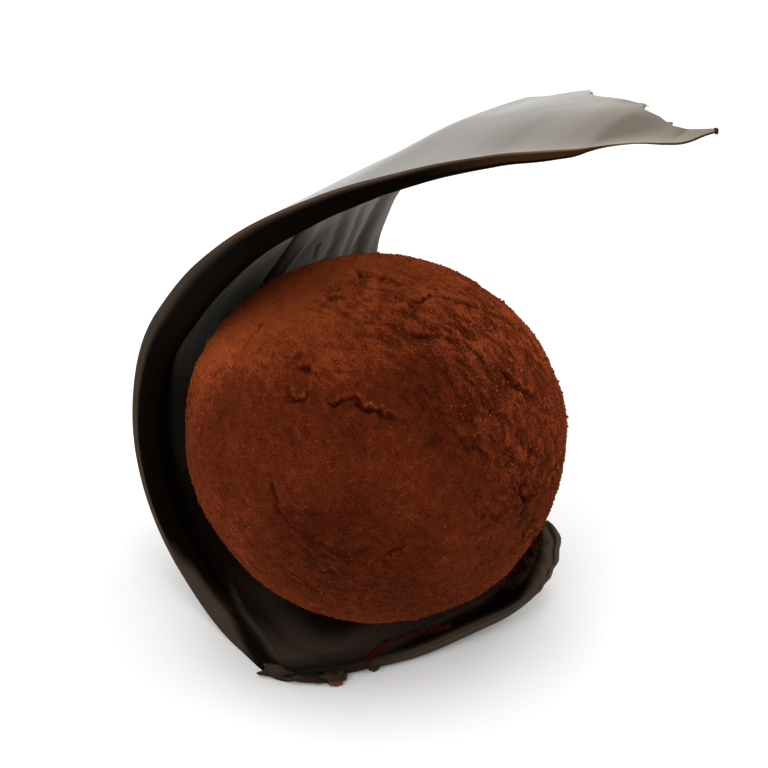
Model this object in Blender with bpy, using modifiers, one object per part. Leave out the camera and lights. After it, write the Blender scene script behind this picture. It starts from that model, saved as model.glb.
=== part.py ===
"""Chocolate truffle in a dark chocolate curl, a Blender 4.5 script.

Two pieces of real size: a cocoa-dusted ganache ball, and the bent strip of dark
chocolate that it sits in.  The strip is a floor under the ball, a wall that climbs
behind it, a crest over it, and a plume that narrows to a pulled tip.

Frame: metres, +Z up.  The origin is on the table under the ball.  The strip's sweep
lies in planes of constant Y: it runs towards -X under the ball, up, and back to +X.
"""
import math

import bmesh
import bpy
from mathutils import Vector, noise

MM = 0.001

# ---- driving dimensions -------------------------------------------------------------
BALL_RADIUS = 15.0 * MM            # across the level circle of the ball
BALL_HEIGHT = 28.6 * MM            # squat: ganache settles as it sets
BALL_PRESSED = 0.985               # pressed in a little across this direction by the hand
PRESS_DIRECTION = Vector((0.15, 0.80, 0.58)).normalized()
BALL_LUMPS = 0.30 * MM             # how far the hand-rolled form wanders from round
BALL_LUMP_SIZE = 11.0 * MM
BALL_OFFSET = 0.15 * MM            # the ball stands this far from the wall side
SEAT_GAP = 0.30 * MM               # ball to floor

FLOOR_THICKNESS = 2.7 * MM
FRONT_X = 10.0 * MM                # foremost point of the floor's lip

# The strip's outer face as arcs: length, then how far it turns, from the lip inwards.
SWEEP = [
    (12.5 * MM, math.radians(0)),       # floor
    (23.5 * MM, math.radians(90)),      # heel, round to the upright wall
    (12.0 * MM, math.radians(33.7)),    # wall leaning over the ball
    (17.0 * MM, math.radians(14.5)),    # shoulder
    (12.0 * MM, math.radians(6.8)),     # crest
    (29.9 * MM, math.radians(20)),      # plume, flattening to its tip
]

# Stations along the sweep: distance, near edge Y, far edge Y, how far the far edge
# curls in, and the thickness at the near edge, in the middle and at the far edge.
STATIONS = [
    (0.0, -12.7, 13.6, 5.4, 1.8, 2.6, 2.6),      # lip
    (14.0, -11.8, 13.6, 5.2, 3.0, 2.7, 2.2),     # floor, where the heel begins
    (27.0, -11.7, 13.2, 3.0, 3.4, 1.8, 1.8),     # heel
    (42.0, -11.0, 12.4, 1.3, 3.3, 1.5, 1.4),     # upright wall
    (50.0, -11.0, 10.8, 0.8, 3.1, 1.4, 1.2),     # wall leaning in
    (58.0, -11.3, 9.3, 0.4, 2.6, 1.4, 1.1),      # shoulder
    (70.0, -11.0, 9.9, 0.0, 1.7, 1.3, 0.9),      # crest
    (81.0, -8.6, 7.9, 0.0, 1.25, 1.1, 0.8),      # plume
    (88.0, -6.7, 7.1, 0.0, 1.0, 0.9, 0.7),       # corner of the broken end
    (92.0, -5.4, 3.9, 0.0, 0.85, 0.7, 0.6),
    (102.0, -0.4, 1.4, 0.0, 0.5, 0.4, 0.35),
    (106.9, 1.5, 2.1, 0.0, 0.3, 0.3, 0.3),       # pulled tip
]
PLUME_CROWN = 1.2 * MM             # the plume's near side hangs lower than the rest
CROWN_FROM, CROWN_TO = 75 * MM, 81 * MM
PLUME_BANK = math.radians(-1.5)    # the plume rolls down towards its far edge
BANK_FROM, BANK_TO = 72 * MM, 90 * MM

LIP_SET_BACK = 8.6 * MM            # the near corner stands this far behind the lip
LIP_CURVE = 2.2                    # exponent of the lip's plan curve
LIP_BLEND = 22.0 * MM              # the slanted lip squares up over this length
LIP_RISE = 1.2 * MM                # the lip lifts off the table
LIP_RISE_RUN = 5.0 * MM            # ... over its last few millimetres
RISE_ACROSS = 0.6                  # lip and plume rise fully from this share of the width on
FAR_CORNER_ROUND = 2.4 * MM        # the lip's far corner is cut back by this
FAR_CORNER_FROM = 0.8              # ... from this share of the half width on
SOLE = 0.4 * MM                    # the underside sags by this and is cut flat by the tray
SOLE_BLEND = 2.4 * MM              # height at which the sag has died out
TRAY = (60.0 * MM, 60.0 * MM, 4.0 * MM)
CURL_FROM = 0.67                   # share of the width where the far side starts to curl
NEAR_RIM = 0.3                     # share of the width over which the near rim thins out
FAR_RIM = 0.5                      # ... and the far rim

ROWS, COLUMNS = 42, 8              # cage of the strip, before subdivision
COLUMN_SHIFT = 0.06                # the cage's columns gather towards both edges
EDGE_CREASE = 0.5                  # how tight the strip's edges stay when it is subdivided

BALL_SEGMENTS, BALL_RINGS = 48, 28
CALM_FROM = 0.6                    # the ball's lumps fade out towards its top and bottom


# ---- shared helpers -----------------------------------------------------------------
def ease(value, low, high):
    """Smooth 0 to 1 as value goes from low to high."""
    t = min(max((value - low) / (high - low), 0.0), 1.0)
    return t * t * (3 - 2 * t)


def add_material(obj, name, colour, roughness):
    """Give the object its own Principled material."""
    material = bpy.data.materials.new(name)
    material.use_nodes = True
    shader = material.node_tree.nodes["Principled BSDF"]
    shader.inputs["Base Color"].default_value = (*colour, 1.0)
    shader.inputs["Roughness"].default_value = roughness
    shader.inputs["Metallic"].default_value = 0.0
    material.diffuse_color = (*colour, 1.0)
    obj.data.materials.append(material)


def add_object(name, bm, collection):
    """Turn a bmesh into a smooth-shaded object of the collection."""
    mesh = bpy.data.meshes.new(name)
    bm.to_mesh(mesh)
    bm.free()
    mesh.shade_smooth()
    obj = bpy.data.objects.new(name, mesh)
    collection.objects.link(obj)
    return obj


# ---- chocolate curl -----------------------------------------------------------------
def sweep_point(along):
    """Point (x, z) and heading of the strip's outer face at a distance from the lip."""
    x, z, heading = FRONT_X, 0.0, math.pi
    for length, turn in SWEEP:
        run = min(along, length)
        if turn:
            radius = length / turn
            turned = heading - run / radius
            x += radius * (math.sin(heading) - math.sin(turned))
            z += radius * (math.cos(turned) - math.cos(heading))
            heading = turned
        else:
            x += run * math.cos(heading)
            z += run * math.sin(heading)
        along -= run
        if along <= 0:
            break
    return x, z, heading


def station(along):
    """The stations' values at a distance along the sweep, by a smooth cubic."""
    values = [[row[0] * MM] + [v * MM for v in row[1:]] for row in STATIONS]
    last = len(values) - 1
    i = max(k for k in range(last) if values[k][0] <= along or k == 0)
    a, b = values[i], values[i + 1]
    before, after = values[max(i - 1, 0)], values[min(i + 2, last)]
    span = b[0] - a[0]
    t = min(max((along - a[0]) / span, 0.0), 1.0)
    result = []
    for k in range(1, len(a)):
        slope_a = (b[k] - before[k]) / (b[0] - before[0]) * span
        slope_b = (after[k] - a[k]) / (after[0] - a[0]) * span
        result.append((2 * t**3 - 3 * t**2 + 1) * a[k] + (t**3 - 2 * t**2 + t) * slope_a
                      + (3 * t**2 - 2 * t**3) * b[k] + (t**3 - t**2) * slope_b)
    return result


def lip_start(y):
    """How far behind the foremost point the strip begins, at a place across it."""
    half = -STATIONS[0][1] * MM
    corner = FAR_CORNER_FROM * half
    slant = max((corner - y) / (corner + half), 0.0) ** LIP_CURVE
    rounding = max((y - corner) / (half - corner), 0.0) ** 2
    return LIP_SET_BACK * slant + FAR_CORNER_ROUND * rounding


def strip_point(along, across):
    """Point of the strip's outer face, and the thickness of chocolate there."""
    near, far = station(along)[:2]
    start = lip_start(near + across * (far - near))
    if along < LIP_BLEND:
        along = start + along * (1 - start / LIP_BLEND)
    near, far, curl, thick_near, thick_middle, thick_far = station(along)
    x, z, heading = sweep_point(along)
    y = near + across * (far - near)

    lift = curl * max((across - CURL_FROM) / (1 - CURL_FROM), 0.0) ** 2
    rise = LIP_RISE * (1 - ease(along, 0.0, LIP_RISE_RUN))
    rise += PLUME_CROWN * ease(along, CROWN_FROM, CROWN_TO)
    x += lift * math.sin(heading)
    z += rise * ease(across, 0.0, RISE_ACROSS) - lift * math.cos(heading)
    sag = SOLE * (1 - ease(z, 0.0, SOLE_BLEND))
    z += y * math.tan(PLUME_BANK) * ease(along, BANK_FROM, BANK_TO) - sag

    near_rim = max(1 - across / NEAR_RIM, 0.0) ** 2
    far_rim = max(1 - (1 - across) / FAR_RIM, 0.0) ** 2
    thick = sag + thick_middle + (thick_near - thick_middle) * near_rim
    thick += (thick_far - thick_middle) * far_rim
    return Vector((x, y, z)), thick


def make_curl(collection):
    """An open grid bent to the sweep, thickened inwards and subdivided."""
    length = sum(arc[0] for arc in SWEEP)
    bm = bmesh.new()
    bmesh.ops.create_grid(bm, x_segments=ROWS, y_segments=COLUMNS, size=0.5)
    thickness = []
    for vert in sorted(bm.verts, key=lambda v: v.index):
        along = (vert.co.x + 0.5) * length
        across = vert.co.y + 0.5
        across -= COLUMN_SHIFT * math.sin(2 * math.pi * across)
        vert.co, thick = strip_point(along, across)
        thickness.append(thick)
    obj = add_object("chocolate_curl", bm, collection)

    thickest = max(thickness)
    group = obj.vertex_groups.new(name="thickness")
    for index, thick in enumerate(thickness):
        group.add([index], thick / thickest, "REPLACE")
    solidify = obj.modifiers.new("thickness", "SOLIDIFY")
    solidify.thickness = thickest
    solidify.offset = -1.0
    solidify.vertex_group = group.name
    solidify.edge_crease_inner = EDGE_CREASE
    solidify.edge_crease_outer = EDGE_CREASE
    soften = obj.modifiers.new("soft edges", "SUBSURF")
    soften.levels = 1
    soften.render_levels = 1
    add_material(obj, "dark chocolate", (0.018, 0.011, 0.008), 0.30)
    return obj


def cut_sole(curl, cutters):
    """Cut the strip's underside flat at the table, as the tray left it."""
    bm = bmesh.new()
    bmesh.ops.create_cube(bm, size=1.0)
    bmesh.ops.scale(bm, vec=TRAY, verts=bm.verts)
    bmesh.ops.translate(bm, vec=(0, 0, -TRAY[2] / 2), verts=bm.verts)
    tray = add_object("tray_cutter", bm, cutters)
    tray.hide_render = True
    tray.display_type = "WIRE"
    cut = curl.modifiers.new("flat sole", "BOOLEAN")
    cut.operation = "DIFFERENCE"
    cut.object = tray


# ---- truffle ------------------------------------------------------------------------
def make_truffle(collection):
    """A squat ball, a little lumpy, flattened where it sits on the floor."""
    bm = bmesh.new()
    bmesh.ops.create_uvsphere(bm, u_segments=BALL_SEGMENTS, v_segments=BALL_RINGS, radius=1.0)
    for vert in bm.verts:
        lump = noise.noise(vert.co * (BALL_RADIUS / BALL_LUMP_SIZE))
        lump *= 1 - ease(abs(vert.co.z), CALM_FROM, 1.0)
        radius = BALL_RADIUS + BALL_LUMPS * lump
        point = Vector((radius * vert.co.x, radius * vert.co.y, BALL_HEIGHT / 2 * vert.co.z))
        press = (1 - BALL_PRESSED) * point.dot(PRESS_DIRECTION)
        vert.co = point - press * PRESS_DIRECTION
    lowest = min(vert.co.z for vert in bm.verts)
    truffle = add_object("truffle", bm, collection)
    truffle.location = (BALL_OFFSET, 0, FLOOR_THICKNESS + SEAT_GAP - lowest)
    add_material(truffle, "cocoa powder", (0.20, 0.062, 0.022), 0.95)
    return truffle


# ---- build --------------------------------------------------------------------------
for old in list(bpy.data.objects):
    bpy.data.objects.remove(old, do_unlink=True)

parts = bpy.data.collections.new("chocolate_truffle")
bpy.context.scene.collection.children.link(parts)
cutters = bpy.data.collections.new("cutters")
bpy.context.scene.collection.children.link(cutters)

chocolate_curl = make_curl(parts)
cut_sole(chocolate_curl, cutters)
make_truffle(parts)
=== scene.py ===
import math
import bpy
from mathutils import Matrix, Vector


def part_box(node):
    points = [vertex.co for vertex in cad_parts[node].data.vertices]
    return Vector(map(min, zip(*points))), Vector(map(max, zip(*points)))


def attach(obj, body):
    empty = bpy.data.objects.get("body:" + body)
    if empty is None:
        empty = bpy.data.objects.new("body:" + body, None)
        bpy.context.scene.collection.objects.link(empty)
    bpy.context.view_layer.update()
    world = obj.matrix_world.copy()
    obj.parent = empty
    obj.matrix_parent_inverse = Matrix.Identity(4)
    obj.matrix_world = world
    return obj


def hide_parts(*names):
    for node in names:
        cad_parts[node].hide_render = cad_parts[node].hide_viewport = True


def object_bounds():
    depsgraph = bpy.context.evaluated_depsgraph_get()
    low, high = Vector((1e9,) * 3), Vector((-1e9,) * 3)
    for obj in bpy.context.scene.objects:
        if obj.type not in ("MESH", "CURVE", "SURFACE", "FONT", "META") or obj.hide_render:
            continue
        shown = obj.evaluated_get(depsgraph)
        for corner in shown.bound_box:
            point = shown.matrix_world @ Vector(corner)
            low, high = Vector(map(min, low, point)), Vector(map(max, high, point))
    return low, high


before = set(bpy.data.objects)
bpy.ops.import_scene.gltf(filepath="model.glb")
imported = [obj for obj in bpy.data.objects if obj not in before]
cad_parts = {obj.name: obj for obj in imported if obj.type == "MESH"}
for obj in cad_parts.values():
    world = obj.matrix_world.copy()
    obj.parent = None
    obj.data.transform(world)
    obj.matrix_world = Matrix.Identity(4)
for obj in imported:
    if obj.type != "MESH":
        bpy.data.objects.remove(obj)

from types import SimpleNamespace

import bpy
import numpy as np
from mathutils import Vector, noise

cad_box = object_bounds()
MM = 0.001

# ==== Table, light and camera ==========================================================
# The sweet stands on a seamless sheet of white paper in a tent of white cloth, lit through
# the cloth by five soft boxes. The camera looks down on it through the tent's opening, in
# front of the curl's open side.
SHEET_REACH = 2.5                       # metres from the middle to each side


def new_piece(name, points, faces):
    """An object in the scene, with a mesh of points in metres and faces between them."""
    mesh = bpy.data.meshes.new(name)
    mesh.from_pydata(points, [], faces)
    piece = bpy.data.objects.new(name, mesh)
    bpy.context.scene.collection.objects.link(piece)
    return piece


def new_material(name):
    """A material and its node tree, with the shader's node ready to set."""
    material = bpy.data.materials.new(name)
    material.use_nodes = True
    return material, material.node_tree, material.node_tree.nodes["Principled BSDF"]


sheet_corners = [(-SHEET_REACH, -SHEET_REACH, 0), (SHEET_REACH, -SHEET_REACH, 0),
                 (SHEET_REACH, SHEET_REACH, 0), (-SHEET_REACH, SHEET_REACH, 0)]
white_sheet = new_piece("white_sheet", sheet_corners, [(0, 1, 2, 3)])
white_sheet.location.z = cad_box[0][2]

paper, _, paper_shader = new_material("white paper")
paper_shader.inputs["Base Color"].default_value = (0.81, 0.817, 0.817, 1)
paper_shader.inputs["Roughness"].default_value = 0.9
paper_shader.inputs["Specular IOR Level"].default_value = 0.1
# a little light comes up through the sheet too
paper_shader.inputs["Emission Color"].default_value = (0.98, 1.0, 1.0, 1)
paper_shader.inputs["Emission Strength"].default_value = 0.09
white_sheet.data.materials.append(paper)

bpy.context.scene.world = bpy.data.worlds.new("light tent")
bpy.context.scene.view_settings.view_transform = "Standard"

truffle_low, truffle_high = (Vector(corner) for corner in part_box("truffle"))
truffle_centre = (truffle_low + truffle_high) / 2


def soft_light(name, place, size, power, tint=(1.0, 0.985, 0.965)):
    """A square soft box at a place, turned to the truffle; metres and watts."""
    lamp = bpy.data.lights.new(name, "AREA")
    lamp.shape = "SQUARE"
    lamp.size = size
    lamp.energy = power
    lamp.color = tint
    box = bpy.data.objects.new(name, lamp)
    bpy.context.scene.collection.objects.link(box)
    box.location = place
    box.rotation_euler = (truffle_centre - box.location).to_track_quat("-Z", "Y").to_euler()


soft_light("left box", Vector((-0.27, -0.46, 0.50)), 0.45, 0.4)
soft_light("back box", Vector((-0.335, 0.125, 0.145)), 0.28, 0.36, (1.0, 0.95, 0.88))
soft_light("right box", Vector((0.30, 0.45, 0.36)), 0.45, 1.8)
soft_light("front box", Vector((0.13, -0.48, 0.38)), 0.40, 1.5)
soft_light("overhead box", Vector((0.03, -0.04, 0.65)), 0.50, 2.65)

CAMERA_ROUND = math.radians(50)         # from the -Y side towards +X
CAMERA_UP = math.radians(35)
CAMERA_AWAY = 0.280
AIM_OFF_CENTRE = (-1.4, 2.0, 3.4)       # millimetres from the truffle's middle
camera_aim = truffle_centre + Vector(AIM_OFF_CENTRE) * MM
lens = bpy.data.cameras.new("camera")
lens.sensor_width = 36.0
lens.lens = 166.7
lens.clip_start = 0.01
camera = bpy.data.objects.new("camera", lens)
bpy.context.scene.collection.objects.link(camera)
toward_camera = Vector((math.sin(CAMERA_ROUND) * math.cos(CAMERA_UP),
                        -math.cos(CAMERA_ROUND) * math.cos(CAMERA_UP), math.sin(CAMERA_UP)))
camera.location = camera_aim + CAMERA_AWAY * toward_camera
camera.rotation_euler = (-toward_camera).to_track_quat("-Z", "Y").to_euler()
bpy.context.scene.camera = camera

# the tent is white cloth all round, and dark only at the opening the camera looks through
TENT_WHITE, TENT_OPENING = 0.55, 0.12
OPENING_EDGE, OPENING_CORE = math.radians(50), math.radians(25)
bpy.context.scene.world.use_nodes = True
tent = bpy.context.scene.world.node_tree
looking = tent.nodes.new("ShaderNodeTexCoord")
toward_opening = tent.nodes.new("ShaderNodeVectorMath")
toward_opening.operation = "DOT_PRODUCT"
toward_opening.inputs[1].default_value = toward_camera
cloth = tent.nodes.new("ShaderNodeMapRange")
cloth.interpolation_type = "SMOOTHSTEP"
cloth.inputs["From Min"].default_value = math.cos(OPENING_EDGE)
cloth.inputs["From Max"].default_value = math.cos(OPENING_CORE)
cloth.inputs["To Min"].default_value = TENT_WHITE
cloth.inputs["To Max"].default_value = TENT_OPENING
tent.links.new(looking.outputs["Generated"], toward_opening.inputs[0])
tent.links.new(toward_opening.outputs["Value"], cloth.inputs["Value"])
tent.links.new(cloth.outputs["Result"], tent.nodes["Background"].inputs["Strength"])
tent.nodes["Background"].inputs["Color"].default_value = (0.98, 0.99, 1.0, 1)

# ==== Chocolate curl ===================================================================
# One strip of dark chocolate, spread on a film, bent while soft and left to set: a floor
# that the truffle stands in, a wall behind it, a crest over it and a plume that ends in a
# ragged break. The near side is a thick cut edge, the far side curls in thin.
FRONT_X = 10.0                          # millimetres, as all sizes from here on but materials'
ARCS = [(12.5, 0.0), (23.5, 90.0), (12.0, 33.7), (17.0, 14.5), (12.0, 6.8), (29.9, 20.0)]
TIP = 106.2                             # distance along the strip at which it ends

NEAR_EDGE = [(0, -12.1), (14, -11.8), (27, -11.7), (42, -11.1), (50, -11.0), (58, -11.3),
             (66, -11.4), (70, -11.0), (76, -9.8), (81, -8.1), (83, -7.4), (85.7, -6.6),
             (88.5, -5.9), (90.2, -5.4), (91.8, -4.8), (94.4, -4.2), (96.7, -3.5),
             (98.3, -2.9), (99.3, -2.1), (100.5, -1.3), (101.9, -0.6), (103.6, 0.0),
             (105.0, 0.8), (105.6, 1.6), (106.2, 2.1)]
FAR_EDGE = [(0, 13.9), (5, 13.8), (14, 13.5), (27, 13.2), (42, 12.6), (50, 11.2), (58, 9.5),
            (66, 9.6), (72, 8.9), (78, 7.3), (81, 6.9), (84, 6.8), (86, 7.0), (87.9, 6.9)]
BROKEN_EDGE = [(87.9, 6.9), (88.8, 6.2), (89.6, 5.7), (90.0, 5.0), (92.3, 4.0), (95.2, 3.4),
               (97.8, 2.95), (98.4, 3.0), (98.7, 2.4), (100.7, 2.2), (101.7, 1.95),
               (102.1, 2.1), (102.3, 1.8), (103.6, 1.85), (104.8, 2.1), (106.2, 2.45)]
FAR_CURL = [(0, 5.4), (14, 5.2), (27, 3.0), (42, 1.2), (50, 0.5), (58, 0.05), (70, 0.0)]
NEAR_THICK = [(0, 1.2), (3, 2.0), (8, 3.0), (14, 3.3), (27, 3.4), (42, 3.3), (50, 3.2), (58, 2.9),
              (69, 2.2), (76, 1.85), (83, 1.35), (91, 1.05), (96, 0.85), (97.5, 0.68),
              (98.3, 0.48), (99.3, 0.28), (101, 0.16), (104, 0.2), (106.2, 0.18)]
BODY_THICK = [(0, 1.9), (5, 2.3), (14, 2.6), (27, 1.8), (42, 1.5), (58, 1.4), (70, 1.2),
              (81, 0.9), (88, 0.65), (98, 0.4), (104, 0.22), (106.2, 0.18)]
FAR_THICK = [(0, 2.4), (14, 2.2), (27, 1.7), (42, 1.3), (58, 0.9), (70, 0.7), (81, 0.5),
             (88, 0.35), (98, 0.25), (104, 0.2), (106.2, 0.18)]
# how far each rounded corner of the edges reaches in, and what share of the depth it takes
NEAR_TOP_REACH = [(0, 0.8), (14, 1.5), (27, 1.6), (42, 1.2), (58, 0.8), (70, 0.7), (92, 0.45),
                  (100, 0.1), (106, 0.08)]
NEAR_TOP_SHARE = [(0, 0.45), (14, 0.55), (27, 0.55), (42, 0.45), (58, 0.38), (70, 0.36),
                  (92, 0.36), (106, 0.2)]
NEAR_FOOT_REACH = [(0, 0.4), (14, 0.7), (27, 0.9), (42, 0.6), (58, 0.2), (70, 0.1), (106, 0.05)]
NEAR_FOOT_SHARE = [(0, 0.3), (14, 0.35), (27, 0.35), (42, 0.3), (58, 0.12), (70, 0.08), (106, 0.1)]
FAR_REACH = [(0, 0.8), (30, 0.6), (60, 0.4), (86, 0.22), (88, 0.1), (106, 0.05)]
FAR_SHARE = 0.42
WIDEST_CORNER = 0.35                    # of the strip's width, at most, for each corner
# X of the lip's front by y: it slants across the strip and rounds off at both ends
LIP_FRONT = [(-12.3, 0.9), (-11.7, 2.3), (-10.2, 3.5), (-8.6, 4.7), (-7.0, 5.6), (-5.5, 6.2),
             (-3.5, 7.1), (-0.5, 8.1), (2.3, 8.7), (5, 9.2), (8, 9.65), (10.5, 9.8), (12.3, 9.2),
             (13.4, 8.0), (14.0, 6.8)]
LIP_BLEND = 22.0                        # the slanted lip squares up over this length
LIP_TOP_REACH = [(-12, 2.2), (-6, 1.8), (-2, 1.0), (13, 0.8)]       # by y
LIP_FOOT_REACH, LIP_SHARE = 0.9, 0.46
UNDERCUT, UNDERCUT_REACH = 0.36, 3.4    # the lip's foot curls off the table
SOLE_SAG, SOLE_BLEND = 0.4, 2.4         # the sole is pressed flat by its own weight
PLUME_LEAN = math.radians(1.5)
LIP_LIFT, CROWN_LIFT = 1.2, 1.2         # how much the far side rises at the lip and the crest
DOME_RISE, SWELL_RISE = 1.8, 0.28       # how the crest bulges, and the strip just before it
CURL_FROM, CURL_OVER = 0.67, 0.33       # the share of the width that curls in on the far side
SCALLOP, SCALLOP_PITCH = 0.09, 1.15     # little waves where the lip's ear was pulled off


def ease(value, low, high):
    """Smooth 0 to 1 as value goes from low to high."""
    t = np.clip((value - low) / (high - low), 0.0, 1.0)
    return t * t * (3 - 2 * t)


def through(points, at):
    """A smooth curve through points, read at an array of places."""
    xs, ys = np.array(points, float).T
    slopes = np.gradient(ys, xs)
    at = np.clip(at, xs[0], xs[-1])
    i = np.clip(np.searchsorted(xs, at, side="right") - 1, 0, len(xs) - 2)
    span = xs[i + 1] - xs[i]
    t = (at - xs[i]) / span
    return ((2 * t**3 - 3 * t**2 + 1) * ys[i] + (t**3 - 2 * t**2 + t) * span * slopes[i]
            + (3 * t**2 - 2 * t**3) * ys[i + 1] + (t**3 - t**2) * span * slopes[i + 1])


def straight(points, at):
    """Straight lines through points, read at an array of places."""
    xs, ys = np.array(points, float).T
    return np.interp(at, xs, ys)


def far_edge(along):
    """Y of the far side: smooth, then along the teeth of the break."""
    whole = through(FAR_EDGE, along)
    whole = whole + SCALLOP * np.sin(2 * math.pi * along / SCALLOP_PITCH) * (1 - ease(along, 5, 9))
    return np.where(along < BROKEN_EDGE[0][0], whole, straight(BROKEN_EDGE, along))


def sweep(along):
    """x, z and heading of the strip's outer face at a distance from the lip."""
    x, z = np.full(along.shape, FRONT_X), np.zeros(along.shape)
    heading = np.full(along.shape, math.pi)
    left = np.maximum(along, 0.0)
    for length, degrees in ARCS:
        run = np.minimum(left, length)
        if degrees:
            radius = length / math.radians(degrees)
            turned = heading - run / radius
            x += radius * (np.sin(heading) - np.sin(turned))
            z += radius * (np.cos(turned) - np.cos(heading))
            heading = turned
        else:
            x += run * np.cos(heading)
            z += run * np.sin(heading)
        left = left - run
    return x, z, heading


def outer_face(along, y):
    """Points of the strip's outer face and how far its sole sags there."""
    x, z, heading = sweep(along)
    near = through(NEAR_EDGE, np.minimum(along, 104))
    whole_far = through(FAR_EDGE, np.minimum(along, 86))
    across = (y - near) / np.maximum(whole_far - near, 3.0)
    lift = through(FAR_CURL, along) * np.maximum((across - CURL_FROM) / CURL_OVER, 0.0) ** 2
    lip = LIP_LIFT * (1 - ease(along, 0.0, 5.0)) * ease(across, 0.10, 0.75)
    crown = CROWN_LIFT * ease(along, 75, 81) * ease(across, 0.0, 0.6)
    dome = DOME_RISE * np.clip(across, 0, 1) * np.clip(1 - across, 0, 1) * ease(along, 66, 76)
    dome = dome * (1 - ease(along, 95, 102))
    swell = SWELL_RISE * ease(along, 60, 70) * (1 - ease(along, 76, 84))
    swell = swell * (1 + ease(across, 0.0, 0.5))
    sag = SOLE_SAG * (1 - ease(z, 0.0, SOLE_BLEND))
    z = z + lip + crown + dome + swell - lift * np.cos(heading) - sag
    z = z - y * math.tan(PLUME_LEAN) * ease(along, 72, 90)
    return np.stack([x + lift * np.sin(heading), y + 0 * x, z], -1), sag


def inward(along, y):
    """Unit vectors that point from the outer face into the chocolate."""
    step = 0.05
    by_along = outer_face(along + step, y)[0] - outer_face(along - step, y)[0]
    by_y = outer_face(along, y + step)[0] - outer_face(along, y - step)[0]
    normal = np.cross(by_y, by_along)
    return normal / np.linalg.norm(normal, axis=-1, keepdims=True)


# Rows lie close together round the lip and along the break.
turn = np.linspace(0, math.pi / 2, 8)
rows = np.concatenate([1 - np.cos(turn), np.arange(1.12, 4.0, 0.15), np.arange(4.0, 86.0, 0.30),
                       np.arange(86.0, TIP - 0.1, 0.13), [TIP - 0.06, TIP]])
row_count = len(rows)
ARC_STEPS, BODY_STEPS, EDGE_STEPS = 7, 80, 10
bend = 1 - np.cos(np.linspace(0, math.pi / 2, ARC_STEPS))


def columns(near, far, near_reach, far_reach):
    """Y of the columns of one face: arcs at both sides and even steps between."""
    low = near[:, None] + near_reach[:, None] * bend[None, :]
    high = far[:, None] - far_reach[:, None] * bend[None, ::-1]
    even = np.linspace(0, 1, BODY_STEPS + 2)[1:-1][None, :]
    return np.concatenate([low, low[:, -1:] + even * (high[:, :1] - low[:, -1:]), high], axis=1)


def to_line(points, x, y):
    """Distance from a line of points, and 1 or -1 for the side of it."""
    best = np.full(np.shape(x), 1e9)
    side = np.zeros(np.shape(x))
    for (ax, ay), (bx, by) in zip(points[:-1], points[1:]):
        dx, dy = bx - ax, by - ay
        t = np.clip(((x - ax) * dx + (y - ay) * dy) / (dx * dx + dy * dy), 0, 1)
        gap = np.hypot(x - ax - t * dx, y - ay - t * dy)
        nearer = gap < best
        best = np.where(nearer, gap, best)
        side = np.where(nearer, np.sign((x - ax) * dy - (y - ay) * dx), side)
    return best, side


# The truffle was set down in soft chocolate and pressed up a low ring round itself:
# its radius by its angle, as seen from above, about a middle a little behind the ball's.
RING_MIDDLE = (-1.5, -0.5)
RING = [(-150, 11.2), (-140, 10.8), (-118, 10.4), (-99, 10.5), (-86, 10.7), (-73, 11.3),
        (-64, 11.4), (-52, 10.8), (-39, 9.5), (-23, 8.6), (-4, 8.2), (16, 8.9), (31, 10.4),
        (46, 12.0), (60, 13.0)]
RING_RISE, RING_HALF = 0.30, 0.26
DISH_DEPTH, DISH_WIDTH = 0.50, 2.6      # how the floor sinks inside the ring
MOAT_DEPTH, MOAT_HALF, MOAT_AWAY = 0.38, 0.75, 1.1      # the hollow outside it
# Marks of the spatula inside the wall: places by (distance along, y), depth, half width
WALL_STROKES = [
    ([(66, -5.0), (63.8, -4.2), (58.2, -1.8), (54.7, -0.9), (51.6, -0.4), (44, 0.0)], 0.50, 0.55),
    ([(52.2, 2.9), (50.3, 3.5), (48.3, 4.2)], 0.10, 0.16),
    ([(62.5, 0.4), (57, 3.1), (50, 5.6), (42, 6.8)], 0.14, 0.60),
    ([(61, 6.6), (56.5, 7.6), (50.1, 9.0), (44, 9.8)], 0.22, 0.60),
    ([(58, 4.6), (52, 6.9), (45, 8.6)], 0.10, 0.35)]
BANK_SHARE = 0.45                       # height of a stroke's bank by the stroke's depth
DRAG_RELIEF, EAR_RELIEF = 0.045, 0.14


def pressed_ring(x, y):
    """How far inside the ring a place of the floor is, if the ring shows there, its angle."""
    dx, dy = x - RING_MIDDLE[0], y - RING_MIDDLE[1]
    angle = np.degrees(np.arctan2(dy, dx))
    shows = ease(angle, -165, -140) * (1 - ease(angle, 38, 58))
    return through(RING, angle) - np.hypot(dx, dy), shows, angle


def soft_noise(points, size, shift=0.0):
    """Smooth noise of one size, between about -1 and 1, at points."""
    flat = points.reshape(-1, 3) / size + shift
    return np.array([noise.noise(p) for p in flat.tolist()]).reshape(points.shape[:-1])


# Grey on the near edge, part bloom and part a painted highlight where the rounded edge
# catches light: where it begins and over what width it grows, by distance along. 0 is the
# edge's inner corner, 1 its outer one, and below 0 the inner face's slope.
RIM_GREY_START = [(4, 0.0), (12, -0.38), (20, -0.28), (28, 0.12), (36, 0.30), (50, 0.34), (60, 0.42),
              (72, 0.62)]
RIM_GREY_WIDTH = [(28, 0.26), (38, 0.75), (60, 0.75), (72, 0.5)]
# how grey the near edge, the lip and the lip's nub corner are painted: part bloom, part painted highlight
RIM_BLOOM_AND_HIGHLIGHT, LIP_BLOOM_AND_HIGHLIGHT, NUB_BLOOM_AND_HIGHLIGHT = 0.22, 0.31, 0.06
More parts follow.
